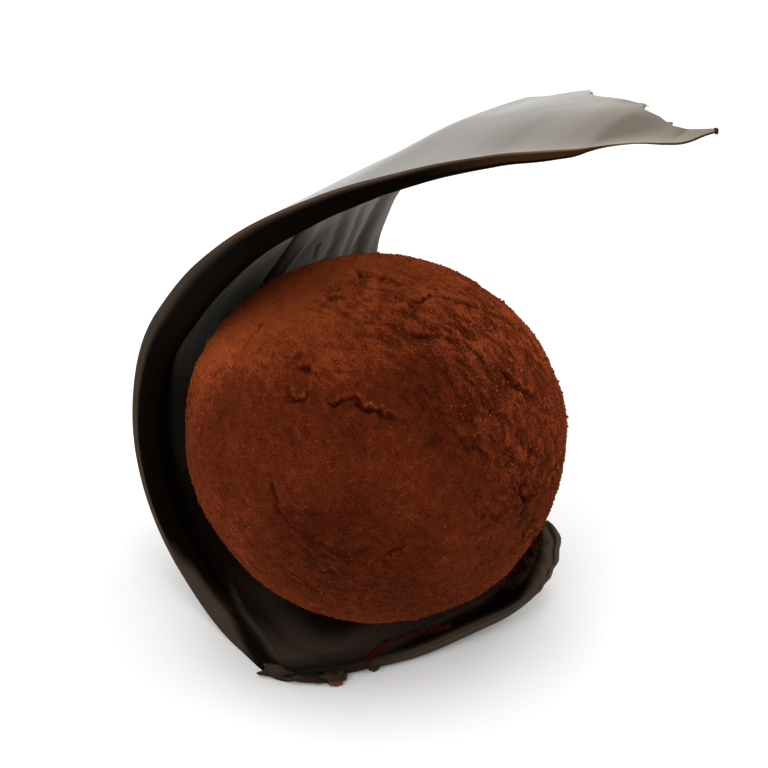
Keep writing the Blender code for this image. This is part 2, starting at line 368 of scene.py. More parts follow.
# Bloom elsewhere, 0 for none and 1 for grey all over; on the plume it also paints in part of its sheen,
# and the corner line is a painted highlight
PLUME_BLOOM_AND_SHEEN, CREST_BLOOM, CORNER_HIGHLIGHT, EAR_BLOOM = 0.42, 0.10, 0.45, 0.35
WALL_FOOT_BLOOM, WALL_BLOOM, SMOOTH_WALL_BLOOM = 0.10, 0.55, 0.45
# a painted highlight on the floor's dish, more on its low side, and a thin one along the ring's crest
FLOOR_HIGHLIGHT, DISH_HIGHLIGHT, LOW_DISH_HIGHLIGHT, RING_HIGHLIGHT = 0.01, 0.13, 0.15, 0.20
# Brown where the chocolate is thin enough to see through, between these two thicknesses
SEEN_THROUGH, TOO_THICK = 0.10, 0.34
# the second share is brown painted along the crest's near corner, as a highlight where it catches light
THIN_SHARE, LIT_CORNER_SHARE = 0.30, 0.35
NEAR_RIM, BODY_FROM, FAR_RIM = 0.6, 3.2, 8.0    # how far in from each side its thickness holds


def rim_bloom_and_highlight(along, share):
    """Grey on the near edge where it has bloomed, with a painted highlight."""
    start = straight(RIM_GREY_START, along)
    grown = ease(share, start, start + straight(RIM_GREY_WIDTH, along))
    return RIM_BLOOM_AND_HIGHLIGHT * grown * (1 - ease(along, 80, 92)) * ease(along, 2, 8)


def lip_bloom_and_highlight(y):
    """Grey on the lip where it has bloomed, with a painted highlight, and less of it at the corner where
    the nub is.
    """
    return NUB_BLOOM_AND_HIGHLIGHT + (LIP_BLOOM_AND_HIGHLIGHT - NUB_BLOOM_AND_HIGHLIGHT) * ease(y, -9, -1)


def lay_out(inner):
    """Where one face's points lie on the strip: rows along, columns across, corners rounded."""
    near, far = through(NEAR_EDGE, rows), far_edge(rows)
    widest = WIDEST_CORNER * (far - near)
    near_reach = np.minimum(straight(NEAR_TOP_REACH if inner else NEAR_FOOT_REACH, rows), widest)
    far_reach = np.minimum(straight(FAR_REACH, rows), widest)
    near_share = straight(NEAR_TOP_SHARE if inner else NEAR_FOOT_SHARE, rows)
    y = columns(near, far, near_reach, far_reach)
    near, far, near_reach, near_share, far_reach = (
        value[:, None] + 0 * y for value in (near, far, near_reach, near_share, far_reach))
    lip_reach = straight(LIP_TOP_REACH, y) if inner else LIP_FOOT_REACH
    # u and v run from 0 on the flat to 1 at the sides and at the lip
    u_near = np.clip(1 - (y - near) / near_reach, 0, 1)
    u_far = np.clip(1 - (far - y) / far_reach, 0, 1)
    v = np.clip(1 - rows[:, None] / lip_reach, 0, 1)
    over = np.maximum(np.sqrt((u_near + u_far) ** 2 + v**2), 1.0)
    y = np.where(u_near > 0, near + near_reach * (1 - u_near / over), y)
    y = np.where(u_far > 0, far - far_reach * (1 - u_far / over), y)
    at = SimpleNamespace(y=y, near=near, u_near=u_near / over, u_far=u_far / over, v=v / over)
    at.from_lip = np.where(v > 0, lip_reach * (1 - v / over), rows[:, None])
    at.wave = np.sin(2 * math.pi * (y - 0.4 * at.from_lip) / SCALLOP_PITCH) * ease(y, 8.6, 10.5)
    start = FRONT_X - through(LIP_FRONT, y) - SCALLOP * at.wave
    squared = start + at.from_lip * (1 - start / LIP_BLEND)
    at.along = np.where(at.from_lip < LIP_BLEND, squared, at.from_lip)
    at.point, sag = outer_face(at.along, y)
    at.normal = inward(at.along, y)

    rim = 1 - ease(y - near, NEAR_RIM, BODY_FROM)
    thin = 1 - ease(far - y, 0.0, FAR_RIM)
    body = through(BODY_THICK, at.from_lip)
    thick = body + (through(NEAR_THICK, at.from_lip) - body) * rim
    at.thick = sag + thick + (through(FAR_THICK, at.from_lip) - body) * thin
    parts = at.u_near**2 * near_share + at.u_far**2 * FAR_SHARE + at.v**2 * LIP_SHARE
    weight = np.maximum(at.u_near**2 + at.u_far**2 + at.v**2, 1e-9)
    at.round_off = parts / weight * at.thick * (1 - np.sqrt(1 - np.minimum(weight, 1.0)))
    at.brown = THIN_SHARE * (1 - ease(at.thick, SEEN_THROUGH, TOO_THICK))
    return at


def finish_and_light(bloom_and_highlight, brown, dish_highlight):
    """The three shares that the chocolate's skins read, as a colour: grey where bloomed and where
    highlights are painted, brown where thin, and the dish's painted highlight.
    """
    shares = [np.clip(share, 0, 1) for share in (bloom_and_highlight, brown, dish_highlight)]
    return np.stack(shares + [np.ones_like(bloom_and_highlight)], -1)


def outer_side():
    """Points of the face that lay on the film, and its shares of bloomed grey, brown and painted
    highlight.
    """
    at = lay_out(inner=False)
    points = at.point + at.normal * at.round_off[..., None]
    off_table = UNDERCUT * (1 - ease(at.from_lip, 0.2, UNDERCUT_REACH)) * ease(at.y, -11, -8)
    points[..., 2] = np.maximum(points[..., 2], 0.0) + off_table
    # the lip's front and the near edge: grey of bloom with a painted highlight
    bloom_and_highlight = (lip_bloom_and_highlight(at.y) * ease(at.v, 0.0, 0.35)
             + rim_bloom_and_highlight(at.from_lip, 1.0) * ease(at.u_near, 0.2, 0.8))
    # grey on the plume: bloom, and part of the plume's sheen painted in
    bloom_and_highlight = bloom_and_highlight + PLUME_BLOOM_AND_SHEEN * ease(at.from_lip, 88, 97) + CREST_BLOOM * ease(at.from_lip, 62, 80)
    # brown along the crest's near corner: a painted highlight where the corner catches light, on an edge
    # thin enough to let light through
    lit_corner = ease(at.u_near, 0.3, 0.9) * ease(at.from_lip, 58, 66) * (1 - ease(at.from_lip, 96, 99))
    return points, finish_and_light(bloom_and_highlight, at.brown + LIT_CORNER_SHARE * lit_corner, 0 * bloom_and_highlight)


def floor_marks(points, along):
    """Relief of the floor round the ball, and the highlight painted on its dish and ring."""
    inside, shows, angle = pressed_ring(points[..., 0], points[..., 1])
    on_floor = 1 - ease(along, 15, 21)
    relief = RING_RISE * np.exp(-(inside / RING_HALF) ** 2)
    relief = relief - DISH_DEPTH * ease(inside, 0.1, DISH_WIDTH)
    relief = relief - MOAT_DEPTH * np.exp(-((inside + MOAT_AWAY) / MOAT_HALF) ** 2)
    low_side = ease(angle, -105, -70)
    dish = ease(inside, -0.1, 0.5) * (1 - ease(inside, 2.4, 5.6))
    # the dish is painted lighter inside the ring, more on its low side, and the ring's crest as a thin
    # line: a painted highlight
    dish_highlight = (FLOOR_HIGHLIGHT + (DISH_HIGHLIGHT + LOW_DISH_HIGHLIGHT * low_side) * dish) * shows * on_floor
    dish_highlight = dish_highlight + RING_HIGHLIGHT * np.exp(-(inside / 0.20) ** 2) * shows * on_floor
    return relief * shows * on_floor, dish_highlight


def wall_bloom(at):
    """Bloomed grey up the wall, which begins along the crease of the longest stroke."""
    past_crease = ease(at.y, -3.2, 0.2) * ease(at.along, 44, 52) + ease(at.along, 60, 68)
    on_wall = (WALL_FOOT_BLOOM * ease(at.along, 26, 34) + WALL_BLOOM * ease(at.along, 36, 47)
               + SMOOTH_WALL_BLOOM * np.minimum(past_crease, 1))
    return on_wall * ease(at.y - at.near, 2.4, 3.6)


def inner_side():
    """Points of the face that was open to the air and the spatula, and its shares of bloomed grey, brown
    and painted highlight.
    """
    at = lay_out(inner=True)
    points = at.point + at.normal * at.thick[..., None]
    relief, dish_highlight = floor_marks(points, at.along)
    bloom_and_highlight = wall_bloom(at)
    for line, deep, half in WALL_STROKES:
        gap, side = to_line(line, at.along, at.y)
        groove = np.exp(-(gap / half) ** 2)
        bank = np.exp(-((gap - 1.6 * half) / half) ** 2) * (side > 0)
        relief = relief - deep * groove + BANK_SHARE * deep * bank
        # the strokes' grooves are painted darker than the wall, as shade in the creases
        groove_shade = np.minimum(deep / 0.35, 1) * np.exp(-(gap / (0.8 * half)) ** 2)
        bloom_and_highlight = bloom_and_highlight * (1 - 0.85 * groove_shade)
    # fine drag lines along the strip, and the ridges of the ear
    drag = soft_noise(np.stack([at.along / 26, at.y / 0.9, 0 * at.y], -1), 1.0)
    drag = drag + 0.5 * soft_noise(np.stack([at.along / 12, at.y / 0.35, 0 * at.y], -1), 1.0, 7.0)
    relief = relief + DRAG_RELIEF * drag * ease(at.along, 20, 34)
    ear = ease(at.y, 7.5, 10.5) * (1 - ease(at.from_lip, 3.5, 6.5))
    relief = relief + EAR_RELIEF * at.wave * ear
    bloom_and_highlight = bloom_and_highlight * (1 + 0.22 * drag) + EAR_BLOOM * ear
    # a painted highlight along the inner corner of the plume's near edge, where it catches light; then the
    # lip's and the near edge's grey, part bloom and part painted highlight
    line_end = 0.35 + 0.6 * ease(at.from_lip, 78, 88)
    corner_highlight = ease(at.u_near, 0.0, 0.10) * (1 - ease(at.u_near, 0.12, line_end))
    bloom_and_highlight = bloom_and_highlight + CORNER_HIGHLIGHT * corner_highlight * ease(at.from_lip, 70, 78)
    bloom_and_highlight = bloom_and_highlight * (1 - ease(at.v, 0.0, 0.4))
    bloom_and_highlight = bloom_and_highlight + lip_bloom_and_highlight(at.y) * ease(at.v, 0.86 - 0.6 * ease(at.y, 8, 11), 1.0)
    bloom_and_highlight = bloom_and_highlight + rim_bloom_and_highlight(at.from_lip, at.u_near - 1)
    flat = (1 - at.u_near) * (1 - at.u_far) * (1 - at.v)
    points = points + at.normal * (relief * flat - at.round_off)[..., None]
    return points, finish_and_light(bloom_and_highlight, at.brown, dish_highlight * (1 - at.v))


outer, outer_shares = outer_side()
inner, inner_shares = inner_side()
column_count = outer.shape[1]


def edge_face(a, b, out_of, bulge, share):
    """Rows of points between two lines of points, bulging out of the side."""
    grid = a[:, None, :] + (b - a)[:, None, :] * share[..., None]
    height = np.linalg.norm(b - a, axis=1)
    swell = bulge * height[:, None] * (1 - (2 * share - 1) ** 2)
    return grid + swell[..., None] * np.asarray(out_of)


OUT_NEAR, OUT_FAR = (0.0, -1.0, 0.0), (0.0, 1.0, 0.0)
NEAR_BULGE, FAR_BULGE = 0.05, 0.15
LIP_INSIDE, LIP_OUTSIDE = 1.4, 0.8      # how far the broken lip's matt skin reaches in
FILM, AIR, EDGE = 0, 1, 2               # the strip's three skins, in the order of its materials

even_steps = np.linspace(0, 1, EDGE_STEPS + 2)[1:-1]
even = even_steps + 0 * rows[:, None]
near_band = edge_face(inner[:, 0], outer[:, 0], OUT_NEAR, NEAR_BULGE, even)
far_band = edge_face(outer[:, -1], inner[:, -1], OUT_FAR, FAR_BULGE, even)
# each ring goes over the outer face, the far edge, back over the inner face, the near edge
rings = np.concatenate([outer, far_band, inner[:, ::-1], near_band], axis=1)
ring_size = rings.shape[1]
first_far = column_count
first_inner = column_count + EDGE_STEPS
first_near = first_inner + column_count

far_shares = np.zeros((row_count, EDGE_STEPS, 4))
far_shares[..., 1] = inner_shares[:, :1, 1]
near_shares = far_shares.copy()
# the far edge by the lip gets the lip's grey, part bloom and part painted highlight
far_shares[..., 0] = LIP_BLOOM_AND_HIGHLIGHT * (1 - ease(rows[:, None], 0.5, 0.9))
# the near edge's band gets the near edge's grey, part bloom and part painted highlight
near_shares[..., 0] = rim_bloom_and_highlight(rows[:, None], even)
near_shares[..., 1] += THIN_SHARE * ease(rows[:, None], 84, 95)
ring_shares = np.concatenate([outer_shares, far_shares, inner_shares[:, ::-1], near_shares], axis=1)


def skin(row, k):
    """Which of the strip's three skins a face of the ring has."""
    broken_lip = rows[row] < (LIP_OUTSIDE if k < first_inner else LIP_INSIDE)
    if broken_lip or k < ARC_STEPS - 1 or k >= first_near - ARC_STEPS:
        return EDGE
    return FILM if k < first_inner else AIR


def nose_index(row, first, column, step):
    """Where a point of a closing strip is kept: its border is shared with the ring."""
    a = row * ring_size
    if step == 0:
        return a + column
    if step == EDGE_STEPS + 1:
        return a + first_inner + column_count - 1 - column
    if column == 0:
        return a + first_near + EDGE_STEPS - step
    if column == column_count - 1:
        return a + first_far + step - 1
    return first + (column - 1) * EDGE_STEPS + step - 1


verts = rings.reshape(-1, 3)
colours = ring_shares.reshape(-1, 4)
faces, skins = [], []
for row in range(row_count - 1):
    for k in range(ring_size):
        following = (k + 1) % ring_size
        a = row * ring_size
        b = a + ring_size
        faces.append((a + k, b + k, b + following, a + following))
        skins.append(skin(row, k))
# the lip's nose and the very tip are closed by one more strip of faces each
for row, tip in ((0, False), (row_count - 1, True)):
    first = len(verts)
    level = even_steps + 0 * outer[row, 1:-1, :1]
    nose = edge_face(outer[row, 1:-1], inner[row, 1:-1], (0.0, 0.0, 0.0), 0.0, level)
    verts = np.concatenate([verts, nose.reshape(-1, 3)])
    nose_shares = np.zeros((nose.shape[0], EDGE_STEPS, 4))
    if tip:
        nose_shares[..., 1] = THIN_SHARE
    else:
        nose_shares[..., 0] = inner_shares[row, 1:-1, :1]
    colours = np.concatenate([colours, nose_shares.reshape(-1, 4)])
    for column in range(column_count - 1):
        for step in range(EDGE_STEPS + 1):
            quad = (nose_index(row, first, column, step), nose_index(row, first, column + 1, step),
                    nose_index(row, first, column + 1, step + 1),
                    nose_index(row, first, column, step + 1))
            faces.append(quad[::-1] if tip else quad)
            skins.append(EDGE)


def paint(piece, name, shares):
    """Give every point of a piece four shares, which its material reads by name."""
    painted = piece.data.attributes.new(name, "FLOAT_COLOR", "POINT")
    painted.data.foreach_set("color", shares.ravel())


curl = new_piece("dark_chocolate_curl", (verts * MM).tolist(), faces)
curl.data.shade_smooth()
curl.data.polygons.foreach_set("material_index", skins)
paint(curl, "finish_and_light", colours)


def add_node(tree, kind, inputs=None, **settings):
    """A node with settings, and inputs that are values or other nodes' sockets."""
    node = tree.nodes.new(kind)
    for key, value in settings.items():
        setattr(node, key, value)
    for key, value in (inputs or {}).items():
        if isinstance(value, bpy.types.NodeSocket):
            tree.links.new(value, node.inputs[key])
        else:
            node.inputs[key].default_value = value
    return node


def two_colours(tree, share, first, second):
    """A mix of two colours (or sockets) by a share."""
    node = add_node(tree, "ShaderNodeMix", data_type="RGBA")
    for socket, value in zip((node.inputs[0], node.inputs[6], node.inputs[7]), (share, first, second)):
        if isinstance(value, bpy.types.NodeSocket):
            tree.links.new(value, socket)
        else:
            socket.default_value = value
    return node.outputs[2]


THIN_BROWN = (0.105, 0.043, 0.016, 1)   # where light comes through the thinnest chocolate
DISH_HIGHLIGHT_GREY = (0.165, 0.118, 0.092, 1)   # a painted highlight on the dish and ring round the ball


def chocolate_skin(name, dark, light, haze_and_highlight, roughness, gloss, grain):
    """Chocolate whose colour goes to brown where thin, to grey where it has bloomed and where a highlight
    is painted, and to warm grey where the dish's highlight is painted.
    """
    material, tree, shader = new_material(name)
    place = add_node(tree, "ShaderNodeTexCoord").outputs["Object"]
    shares = add_node(tree, "ShaderNodeAttribute", attribute_name="finish_and_light").outputs["Color"]
    parts = add_node(tree, "ShaderNodeSeparateColor", {"Color": shares})
    clouds = add_node(tree, "ShaderNodeTexNoise", {"Vector": place, "Scale": 320.0, "Detail": 4.0})
    mixed = two_colours(tree, clouds.outputs["Fac"], dark, light)
    mixed = two_colours(tree, parts.outputs["Green"], mixed, THIN_BROWN)
    paler = tuple(1.3 * part for part in haze_and_highlight[:3]) + (1,)
    # grey of bloom, and of the highlights painted on the lip, the near edge, the corner line and the plume
    bloomed = two_colours(tree, clouds.outputs["Fac"], haze_and_highlight, paler)
    mixed = two_colours(tree, parts.outputs["Red"], mixed, bloomed)
    mixed = two_colours(tree, parts.outputs["Blue"], mixed, DISH_HIGHLIGHT_GREY)
    tree.links.new(mixed, shader.inputs["Base Color"])
    rough = add_node(tree, "ShaderNodeMapRange", {
        "Value": clouds.outputs["Fac"], "To Min": roughness - 0.05, "To Max": roughness + 0.05})
    tree.links.new(rough.outputs["Result"], shader.inputs["Roughness"])
    shader.inputs["Specular IOR Level"].default_value = gloss
    fine = add_node(tree, "ShaderNodeTexNoise", {"Vector": place, "Scale": 2500.0, "Detail": 2.0})
    bump = add_node(tree, "ShaderNodeBump", {
        "Height": fine.outputs["Fac"], "Distance": grain, "Strength": 0.5})
    tree.links.new(bump.outputs["Normal"], shader.inputs["Normal"])
    return material


curl.data.materials.append(chocolate_skin(
    "chocolate, film side", dark=(0.016, 0.0095, 0.0058, 1), light=(0.026, 0.0155, 0.0096, 1),
    haze_and_highlight=(0.158, 0.140, 0.108, 1), roughness=0.24, gloss=0.42, grain=0.000006))
curl.data.materials.append(chocolate_skin(
    "chocolate, air side", dark=(0.0055, 0.0030, 0.0018, 1), light=(0.0095, 0.0054, 0.0034, 1),
    haze_and_highlight=(0.190, 0.188, 0.160, 1), roughness=0.60, gloss=0.03, grain=0.00002))
curl.data.materials.append(chocolate_skin(
    "chocolate, edges", dark=(0.0013, 0.0006, 0.0003, 1), light=(0.0026, 0.0013, 0.0006, 1),
    haze_and_highlight=(0.165, 0.118, 0.082, 1), roughness=0.50, gloss=0.004, grain=0.00003))
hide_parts("chocolate_curl")
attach(curl, "root")

# ==== Truffle ==========================================================================
# A ball of ganache rolled by hand and tossed in cocoa. Its form wanders a little from
# round, the coat has cracked in flaps and pits where it was handled, and dry powder
# clings to all of it, thick at the top and rubbed thin and dark in front. Its colour also
# holds painted light and shade: paler on the top-left where the crest shades it, dark
# in the cracks and in the hollows of the crust, pale on the flaps' ridges, and darker in front and low
# down.
BALL_RADIUS, BALL_HEIGHT = 15.0, 28.6   # millimetres, before the hand pressed it
COAT_THICK, BALL_SHIFT = 0.05, 0.15
PRESSED, PRESS_DIRECTION = 0.985, Vector((0.15, 0.80, 0.58)).normalized()
SPLITS = 127                            # squares along each side of the cube it is blown up from

grid = np.tan(np.linspace(-math.pi / 4, math.pi / 4, SPLITS + 1))
u, v = np.meshgrid(grid, grid, indexing="ij")
one = np.ones_like(u)
cube_sides = [(one, u, v), (-one, -u, v), (-u, one, v), (u, -one, v), (-v, u, one), (v, u, -one)]
border_points = {}                      # points that neighbouring sides share
directions, ball_faces = [], []


def ball_point(direction, on_border):
    """The number of a point of the ball, made once where sides of the cube meet."""
    key = tuple(np.round(direction, 6))
    if on_border and key in border_points:
        return border_points[key]
    directions.append(direction)
    if on_border:
        border_points[key] = len(directions) - 1
    return len(directions) - 1


for cube_side in cube_sides:
    blown_up = np.stack(cube_side, -1)
    blown_up = blown_up / np.linalg.norm(blown_up, axis=-1, keepdims=True)
    ids = [[ball_point(blown_up[i, j], i in (0, SPLITS) or j in (0, SPLITS))
            for j in range(SPLITS + 1)] for i in range(SPLITS + 1)]
    for i in range(SPLITS):
        for j in range(SPLITS):
            ball_faces.append((ids[i][j], ids[i + 1][j], ids[i + 1][j + 1], ids[i][j + 1]))
directions = np.array(directions)


def facing(azimuth, elevation):
    """The direction of a place on the ball, by its angles in degrees."""
    a, e = math.radians(azimuth), math.radians(elevation)
    return np.array([math.cos(a) * math.cos(e), math.sin(a) * math.cos(e), math.sin(e)])


def near_to(azimuth, elevation, full, none):
    """1 within some degrees of a place on the ball, fading to 0 further out."""
    angle = np.degrees(np.arccos(np.clip(directions @ facing(azimuth, elevation), -1, 1)))
    return 1 - ease(angle, full, none)


on_ball = directions * BALL_RADIUS
lump = soft_noise(directions, 11.0 / BALL_RADIUS) * (1 - ease(np.abs(directions[:, 2]), 0.6, 1.0))
broad = soft_noise(on_ball, 4.2, 3.0)
medium = soft_noise(on_ball, 1.5, 5.0)
fine = soft_noise(on_ball, 0.62, 9.0)
finest = soft_noise(on_ball, 0.33, 2.0)
# The coat was dragged one way on the side that faced the hand: long narrow streaks there
DRAG_STRETCH = 0.72                     # 0 leaves the noise round, 1 makes endless streaks
drag_way = np.array([0.76, 0.28, -0.57])
drag_way = drag_way / np.linalg.norm(drag_way)
across_drag = on_ball - DRAG_STRETCH * (on_ball @ drag_way)[:, None] * drag_way
streaks = soft_noise(across_drag, 0.75, 4.0) + 0.6 * soft_noise(across_drag, 0.4, 6.0)
# Where the coat is roughest: azimuth, elevation, degrees of full and no effect, and how much
ROUGH_PATCHES = [(24, 42, 16, 40, 1.0), (14, 6, 12, 30, 1.0), (-40, 84, 10, 26, 0.7),
                 (150, 20, 15, 45, 0.8), (-170, -15, 15, 40, 0.7), (-60, -8, 8, 30, 0.4)]
rough = np.maximum.reduce([share * near_to(*patch) for *patch, share in ROUGH_PATCHES])
rough = np.clip(rough * (0.75 + 0.9 * broad) + 0.24 + 0.30 * medium, 0, 1)
# the coat's unevenness, from the ball's own lumps down to single grains
relief = 0.30 * lump + 0.15 * broad + 0.06 * medium + 0.03 * fine + 0.02 * finest
relief = relief - rough * (0.20 * np.abs(streaks) + 0.06 * np.abs(finest))

# Cracks in the coat: (azimuth, elevation) of their points in degrees, depth of the gap and
# height of the flap that stands up along the side on the left of the way they run.
CRACKS = [
    ([(-80, 46), (-76, 44), (-72, 44), (-68, 48)], 0.46, 0.38),
    ([(-60, 46), (-57, 45), (-52, 48), (-48, 49), (-45, 46), (-40, 45), (-34, 43), (-30, 41)], 0.48, 0.36),
    ([(-115, 46), (-119, 50), (-121, 53), (-125, 55)], 0.30, 0.10),
    ([(-87, 56), (-82, 56)], 0.16, 0.06), ([(-80, 52), (-76, 54), (-72, 53)], 0.16, 0.08),
    ([(-92, 41), (-88, 43)], 0.14, 0.06), ([(-109, 14), (-110, 20)], 0.24, 0.05),
    ([(-120, 30), (-117, 36)], 0.12, 0.05), ([(165, 77), (173, 83), (155, 84)], 0.30, 0.06),
    ([(-134, 78), (-128, 81)], 0.34, 0.04), ([(-122, 75), (-112, 76), (-102, 78)], 0.30, 0.06),
    ([(-92, 78), (-72, 78)], 0.22, 0.05), ([(-66, 84), (-45, 83)], 0.20, 0.03),
    ([(-158, 67), (-152, 72)], 0.24, 0.04), ([(113, 84), (77, 83), (66, 79)], 0.34, 0.06),
    ([(11, 82), (24, 78), (27, 76), (45, 73), (51, 64), (55, 54), (59, 43)], 0.22, 0.12),
    ([(-32, 71), (-15, 70), (-11, 67), (4, 64), (14, 58)], 0.22, 0.08),
    ([(23, 46), (24, 42), (25, 38), (27, 34), (31, 30), (33, 25)], 0.38, 0.26),
    ([(10, 10), (10, 5), (11, 1), (10, -3)], 0.60, 0.08), ([(14, 6), (13, 0)], 0.45, 0.05),
    ([(8, 15), (7, 12)], 0.22, 0.03), ([(15, -6), (16, -10)], 0.26, 0.03),
    ([(-75, 19), (-71, 13), (-70, 9), (-66, 6), (-63, 4), (-60, 2), (-53, 1)], 0.20, 0.10),
    ([(-61, -3), (-57, -9), (-53, -9)], 0.14, 0.05), ([(-50, -3), (-47, -5)], 0.16, 0.04),
    ([(-44, 2), (-40, 1)], 0.14, 0.04), ([(-36, 0), (-32, 2)], 0.12, 0.04),
    ([(-9, 30), (-4, 28), (-2, 24)], 0.12, 0.05), ([(-22, 34), (-17, 33)], 0.10, 0.04),
    ([(60, 12), (64, 8), (63, 2)], 0.20, 0.08), ([(90, 40), (98, 36), (108, 38), (118, 34)], 0.28, 0.18),
    ([(100, 5), (112, 2), (120, 6)], 0.22, 0.10), ([(140, 50), (150, 44), (163, 46)], 0.26, 0.14),
    ([(80, -20), (92, -24)], 0.20, 0.06), ([(170, 10), (178, 4), (-175, 6)], 0.24, 0.12),
    ([(-150, 30), (-142, 26), (-138, 18)], 0.24, 0.12), ([(-95, -18), (-84, -22)], 0.16, 0.06),
    ([(20, -28), (32, -30)], 0.16, 0.05), ([(-20, -30), (-8, -34)], 0.16, 0.05)]
SEAM_HALF, FLAP_REACH = 0.17, 0.85      # half width of a crack's gap, how far a flap slopes
RIDGE_AWAY, RIDGE_HALF = 0.32, 0.16     # the flap's ridge beside the gap, painted pale as a highlight
wobble = 0.30 * soft_noise(on_ball, 0.9, 1.5) + 0.27 * soft_noise(on_ball, 0.42, 8.0)
strength = np.clip(0.75 + 0.9 * soft_noise(on_ball, 1.6, 11.0), 0.25, 1.15)
gap_seen = np.zeros(len(directions))
ridge_seen = np.zeros(len(directions))


def beside_crack(spots, points):
    """Distance of spots from a crack, signed by the side, and steps from its nearer end."""
    best, side, ends = np.full(len(spots), 1e9), np.zeros(len(spots)), np.zeros(len(spots))
    steps = len(points) - 1
    for k in range(steps):
        start, step = points[k], points[k + 1] - points[k]
        t = np.clip((spots - start) @ step / (step @ step), 0, 1)
        away = spots - start - t[:, None] * step
        distance = np.linalg.norm(away, axis=1)
        nearer = distance < best
        best = np.where(nearer, distance, best)
        side = np.where(nearer, np.sign(away @ np.cross(start, step)), side)
        whole = (k + t) / steps
        ends = np.where(nearer, np.minimum(whole, 1 - whole) * steps, ends)
    return best * side, ends


for places, deep, flap in CRACKS:
    points = np.array([facing(*place) for place in places]) * BALL_RADIUS
    middle = points.mean(axis=0)
    crack_reach = np.linalg.norm(points - middle, axis=1).max() + 3.0
    close = np.linalg.norm(on_ball - middle, axis=1) < crack_reach
    signed, ends = beside_crack(on_ball[close], points)
    signed = signed + wobble[close]
    power = strength[close] * (0.35 + 0.65 * ease(ends, 0.0, 0.7))
    gap = np.exp(-(signed / SEAM_HALF) ** 2)
    raised = np.where(signed > 0, np.exp(-signed / FLAP_REACH), np.exp(-(signed / 0.10) ** 2))
    relief[close] += power * (flap * raised - (deep + flap) * gap)
    gap_seen[close] = np.maximum(gap_seen[close], power * gap)
    ridge = np.exp(-((signed - RIDGE_AWAY) / RIDGE_HALF) ** 2) * flap / 0.30
    ridge_seen[close] = np.maximum(ridge_seen[close], power * ridge)
# Small deep pits where crumbs have come away, four about each place
PIT_PLACES = [(-130, 79), (-105, 76), (170, 80), (120, 84), (70, 81), (-60, 82), (16, 80), (22, 62),
              (14, 52), (18, 47), (20, 38), (6, 36), (12, 30), (16, 24), (9, 20), (14, 12), (6, 6),
              (-70, 30), (-45, 35), (-20, 10), (35, 15), (40, 30)]
PIT_HALF, PIT_DEPTH = (0.18, 0.38), (0.10, 0.26)
pit_random = np.random.default_rng(11)
for azimuth, elevation in PIT_PLACES:
    for _ in range(4):
        place = facing(azimuth + pit_random.normal(0, 4), elevation + pit_random.normal(0, 2.5))
        distance = np.linalg.norm(on_ball - place * BALL_RADIUS, axis=1) + 0.5 * wobble
        size = pit_random.uniform(*PIT_HALF)
        relief -= pit_random.uniform(*PIT_DEPTH) * np.exp(-(distance / size) ** 2)
squat = np.array([1.0, 1.0, BALL_HEIGHT / 2 / BALL_RADIUS])
ball = directions * (BALL_RADIUS + COAT_THICK + relief)[:, None] * squat
press = (1 - PRESSED) * ball @ np.array(PRESS_DIRECTION)
ball = ball - press[:, None] * np.array(PRESS_DIRECTION)
ball[:, 2] += truffle_low.z / MM - ball[:, 2].min()
ball[:, 0] += BALL_SHIFT
truffle = new_piece("cocoa_truffle", (ball * MM).tolist(), ball_faces)
truffle.data.shade_smooth()

# How thick the powder lies: 1 is deep and orange, 0 is rubbed through to the dark coat.
# The patches also paint light and shade into it: paler on the top, most on the top-left
# where the crest shades the ball, and darker in front and low down.
# Patches by azimuth, elevation, degrees of full and no effect, and how much it adds.
POWDER_AND_LIGHT_PATCHES = [(-128, 62, 12, 52, 0.42), (60, 84, 8, 40, 0.20), (35, 35, 10, 45, 0.15),
                  (34, 60, 6, 26, 0.14), (160, 30, 30, 80, 0.25), (-38, 22, 16, 44, -0.13),
                  (-50, -10, 12, 40, -0.14), (-40, 61, 8, 30, -0.04), (-109, 12, 6, 26, -0.05),
                  (-96, 43, 8, 28, -0.24), (-15, -25, 8, 30, -0.11), (66, 32, 5, 25, 0.12),
                  (-148, 46, 8, 34, 0.32), (-40, 8, 5, 25, 0.06)]
powder = 0.42 + 0 * broad
for *patch, more in POWDER_AND_LIGHT_PATCHES:
    powder = powder + more * near_to(*patch)
powder = powder + 0.13 * broad + 0.11 * medium + 0.12 * fine - 0.25 * rough * np.abs(streaks)
# cracks are painted dark in their gaps as shade, and the flaps' ridges pale as a highlight
powder = np.clip(powder - 0.55 * gap_seen + 0.30 * ridge_seen, 0, 1)
paint(truffle, "coat", np.stack([powder, gap_seen, rough, 1 + 0 * powder], -1))

cocoa, tree, shader = new_material("cocoa powder")
place = add_node(tree, "ShaderNodeTexCoord").outputs["Object"]
coat_parts = add_node(tree, "ShaderNodeSeparateColor", {
    "Color": add_node(tree, "ShaderNodeAttribute", attribute_name="coat").outputs["Color"]})
speckle = add_node(tree, "ShaderNodeTexNoise", {
    "Vector": place, "Scale": 5200.0, "Detail": 3.0, "Roughness": 0.7})
speckled = add_node(tree, "ShaderNodeMath", {0: speckle.outputs["Fac"], 1: 0.5}, operation="SUBTRACT")
amount = add_node(tree, "ShaderNodeMath", {
    0: speckled.outputs["Value"], 1: 1.0, 2: coat_parts.outputs["Red"]}, operation="MULTIPLY_ADD")
